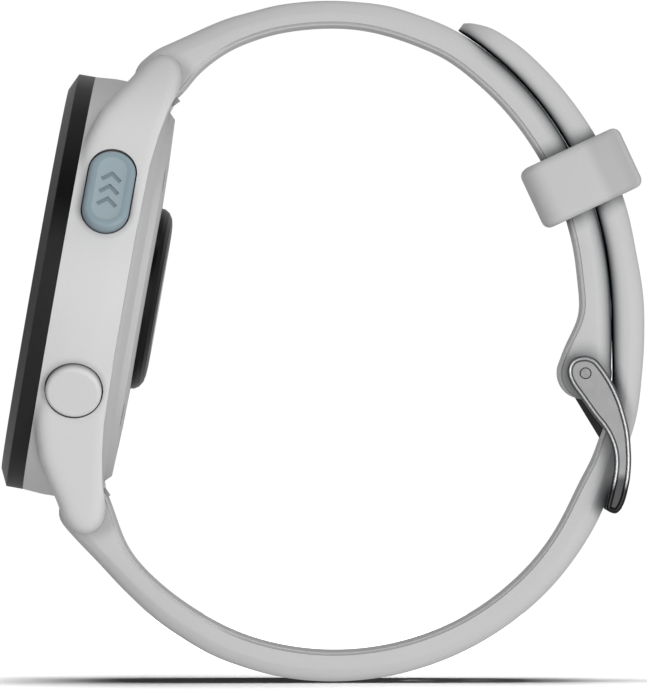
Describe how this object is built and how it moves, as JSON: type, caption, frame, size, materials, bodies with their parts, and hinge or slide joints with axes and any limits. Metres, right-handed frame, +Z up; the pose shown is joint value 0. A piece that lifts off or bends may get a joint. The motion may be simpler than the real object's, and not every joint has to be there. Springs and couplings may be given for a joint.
{
  "type": "running watch",
  "caption": "Round sports watch with push buttons, an optical wrist sensor and a two-piece silicone band closed by a tang buckle and keeper.",
  "frame": {"origin": "centre of the wrist opening of the closed band", "axes": "+Z up along the closed band's longest way, -X towards the screen, +X towards the clasp, +Y towards the nine o'clock side of the case"},
  "size_m": [0.066, 0.0443, 0.0697],
  "materials": {
    "case_polymer": "fine satin",
    "bezel_polymer": "satin",
    "lens_glass": "polished",
    "gasket_rubber": "matte",
    "display_black": "gloss",
    "flex_amber": "satin",
    "inner_polymer": "matte",
    "contact_gold": "polished",
    "circuit_green": "satin",
    "chip_black": "satin",
    "shield_steel": "brushed",
    "battery_wrap": "satin",
    "foam_black": "matte",
    "tungsten_steel": "satin",
    "cover_polymer": "satin",
    "screw_steel": "satin",
    "sensor_black": "gloss",
    "sensor_glass": "polished",
    "led_lens": "gloss",
    "membrane_white": "matte",
    "buckle_steel": "satin",
    "keeper_silicone": "matte",
    "bar_steel": "satin",
    "spring_steel": "satin",
    "band_silicone": "matte",
    "button_blue": "satin",
    "button_polymer": "satin"
  },
  "bodies": {
    "case": {"back_button_spring": "spring_steel", "back_cover": "cover_polymer", "battery": "battery_wrap", "battery_foam": "foam_black", "bezel_ring": "bezel_polymer", "board_chips": "chip_black", "button_seals": "gasket_rubber", "buzzer_disc": "contact_gold", "case_middle": "case_polymer", "charge_contacts": "contact_gold", "cover_gasket": "gasket_rubber", "cover_screws": "screw_steel", "display_flex": "flex_amber", "display_panel": "display_black", "down_button_spring": "spring_steel", "front_lens": "lens_glass", "gps_antenna": "contact_gold", "inner_frame": "inner_polymer", "lens_adhesive": "gasket_rubber", "light_button_spring": "spring_steel", "main_board": "circuit_green", "pressure_sensor": "shield_steel", "sensor_board": "circuit_green", "sensor_housing": "sensor_black", "sensor_leds": "led_lens", "sensor_window": "sensor_glass", "shield_can": "shield_steel", "start_button_spring": "spring_steel", "tact_switches": "chip_black", "up_button_spring": "spring_steel", "vent_membrane": "membrane_white", "vibration_motor_can": "shield_steel"},
    "back_button_body": {"back_button": "button_polymer", "back_button_clip": "spring_steel"},
    "upper_band": {"buckle_bar": "buckle_steel", "short_strap": "band_silicone", "upper_bar_spring": "spring_steel", "upper_spring_bar": "bar_steel"},
    "buckle": {"buckle_frame": "buckle_steel"},
    "tongue": {"buckle_tongue": "buckle_steel"},
    "down_button_body": {"down_button": "button_polymer", "down_button_clip": "spring_steel"},
    "keeper": {"keeper_loop": "keeper_silicone"},
    "light_button_body": {"light_button": "button_polymer", "light_button_clip": "spring_steel"},
    "lower_band": {"long_strap": "band_silicone", "lower_bar_spring": "spring_steel", "lower_spring_bar": "bar_steel"},
    "lower_release": {"lower_release_pin": "bar_steel"},
    "start_button_body": {"start_button": "button_blue", "start_button_clip": "spring_steel"},
    "up_button_body": {"up_button": "button_polymer", "up_button_clip": "spring_steel"},
    "upper_release": {"upper_release_pin": "bar_steel"},
    "rotor": {"vibration_rotor": "tungsten_steel"}
  },
  "joints": [
    {"name": "start_button_press", "type": "slide", "parent": "case", "child": "start_button_body", "axis": [-0.0808, 0.8862, -0.4562], "range_m": [0, 0.0006], "stiffness_N_per_m": 1200, "springref_m": -0.0008, "deforming": ["start_button_spring"]},
    {"name": "back_button_press", "type": "slide", "parent": "case", "child": "back_button_body", "axis": [0.0846, 0.8746, 0.4774], "range_m": [0, 0.0006], "stiffness_N_per_m": 1200, "springref_m": -0.0008, "deforming": ["back_button_spring"]},
    {"name": "light_button_press", "type": "slide", "parent": "case", "child": "light_button_body", "axis": [-0.0859, -0.8704, -0.4849], "range_m": [0, 0.0006], "stiffness_N_per_m": 1200, "springref_m": -0.0008, "deforming": ["light_button_spring"]},
    {"name": "up_button_press", "type": "slide", "parent": "case", "child": "up_button_body", "axis": [0, -1, 0], "range_m": [0, 0.0006], "stiffness_N_per_m": 1200, "springref_m": -0.0008, "deforming": ["up_button_spring"]},
    {"name": "down_button_press", "type": "slide", "parent": "case", "child": "down_button_body", "axis": [0.0859, -0.8704, 0.4849], "range_m": [0, 0.0006], "stiffness_N_per_m": 1200, "springref_m": -0.0008, "deforming": ["down_button_spring"]},
    {"name": "upper_band_swing", "type": "hinge", "parent": "case", "child": "upper_band", "pos_m": [-0.01745, 0, 0.02718], "axis": [0, -1, 0], "range_deg": [-0.15, 0.15]},
    {"name": "lower_band_swing", "type": "hinge", "parent": "case", "child": "lower_band", "pos_m": [-0.02523, 0, -0.01674], "axis": [0, -1, 0], "range_deg": [-0.15, 0.15]},
    {"name": "upper_release_slide", "type": "slide", "parent": "upper_band", "child": "upper_release", "axis": [0, 1, 0], "range_m": [0, 0.0012], "stiffness_N_per_m": 600, "springref_m": -0.0015, "deforming": ["upper_bar_spring"]},
    {"name": "lower_release_slide", "type": "slide", "parent": "lower_band", "child": "lower_release", "axis": [0, 1, 0], "range_m": [0, 0.0012], "stiffness_N_per_m": 600, "springref_m": -0.0015, "deforming": ["lower_bar_spring"]},
    {"name": "buckle_frame_turn", "type": "hinge", "parent": "upper_band", "child": "buckle", "pos_m": [0.02613, 0, -0.00289], "axis": [0, -1, 0], "range_deg": [0, 6]},
    {"name": "buckle_tongue_turn", "type": "hinge", "parent": "upper_band", "child": "tongue", "pos_m": [0.02613, 0, -0.00289], "axis": [0, -1, 0], "range_deg": [0, 6]},
    {"name": "keeper_slide", "type": "hinge", "parent": "upper_band", "child": "keeper", "pos_m": [-0.00445, 0, 0.00417], "axis": [0, -1, 0], "range_deg": [-3, 14]},
    {"name": "vibration_rotor_spin", "type": "hinge", "parent": "case", "child": "rotor", "pos_m": [-0.02066, 0, 0.0182], "axis": [-0.9847, 0, 0.1745], "continuous": true}
  ],
  "couplings": [
    {"joint": "lower_band_swing", "follows": "upper_band_swing", "ratio": 1},
    {"joint": "buckle_tongue_turn", "follows": "buckle_frame_turn", "ratio": 1}
  ]
}
